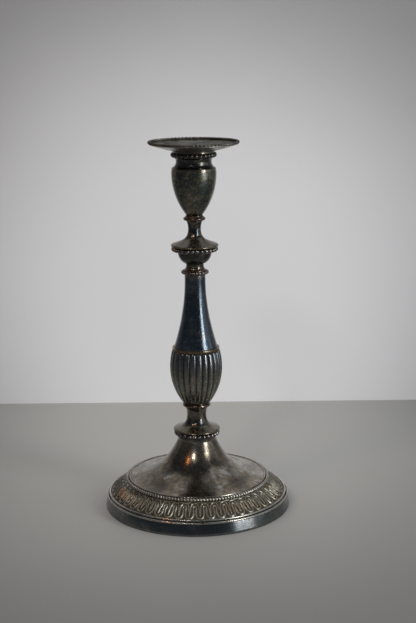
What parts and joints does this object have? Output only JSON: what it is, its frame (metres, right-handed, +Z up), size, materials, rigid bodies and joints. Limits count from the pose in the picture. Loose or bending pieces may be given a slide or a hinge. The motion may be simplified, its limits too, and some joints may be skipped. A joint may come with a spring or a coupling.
{
  "type": "candlestick",
  "caption": "Table candlestick with round loaded foot, struck border, fluted bulb stem, beaded knops, urn sconce and lift-out drip pan.",
  "frame": {"origin": "centre of the foot's underside, on the table", "axes": "+Z up along the stem's axis; the candlestick is turned about +Z, so +X and +Y are any two level directions"},
  "size_m": [0.1398, 0.1398, 0.2759],
  "materials": {
    "tarnished_silver": "polished silver plate, heavily blackened by tarnish",
    "dull_silver": "dull unpolished silver plate",
    "worn_copper": "silver plate worn through to copper at the edges",
    "foot_silver": "silver plate with grey-brown mottled tarnish",
    "rim_silver": "silver plate, bright on the ridges and dark in the hollows",
    "plain_steel": "plain turned steel",
    "pitch_plaster": "cast pitch and plaster loading",
    "tinned_plate": "tinned sheet",
    "green_baize": "woven green baize"
  },
  "bodies": {
    "stick": {"sconce_socket": "dull_silver", "sconce_neck": "tarnished_silver", "sconce_beading": "tarnished_silver", "sconce_bowl": "tarnished_silver", "bowl_foot_ring": "worn_copper", "upper_knop_spool": "tarnished_silver", "upper_knop_beading": "tarnished_silver", "upper_knop_cup": "tarnished_silver", "collar_ring": "worn_copper", "collar_beading": "tarnished_silver", "stem_shaft": "tarnished_silver", "bulb_lip": "tarnished_silver", "fluted_bulb": "tarnished_silver", "bulb_base_ring": "worn_copper", "lower_knop_spool": "tarnished_silver", "lower_knop_beading": "tarnished_silver", "lower_knop_collar": "tarnished_silver", "foot_dome": "foot_silver", "foot_bead_wire": "rim_silver", "foot_border": "rim_silver", "foot_rim": "rim_silver", "rim_reeds": "rim_silver", "tie_rod": "plain_steel", "rod_nuts": "plain_steel", "rod_washers": "plain_steel", "loading_fill": "pitch_plaster", "base_plate": "tinned_plate", "base_felt": "green_baize"},
    "nozzle": {"drip_pan": "foot_silver", "drip_pan_beading": "foot_silver", "nozzle_tube": "dull_silver"}
  },
  "joints": [
    {"name": "nozzle_lift", "type": "slide", "parent": "stick", "child": "nozzle", "axis": [0, 0, 1], "range_m": [0, 0.045]}
  ]
}
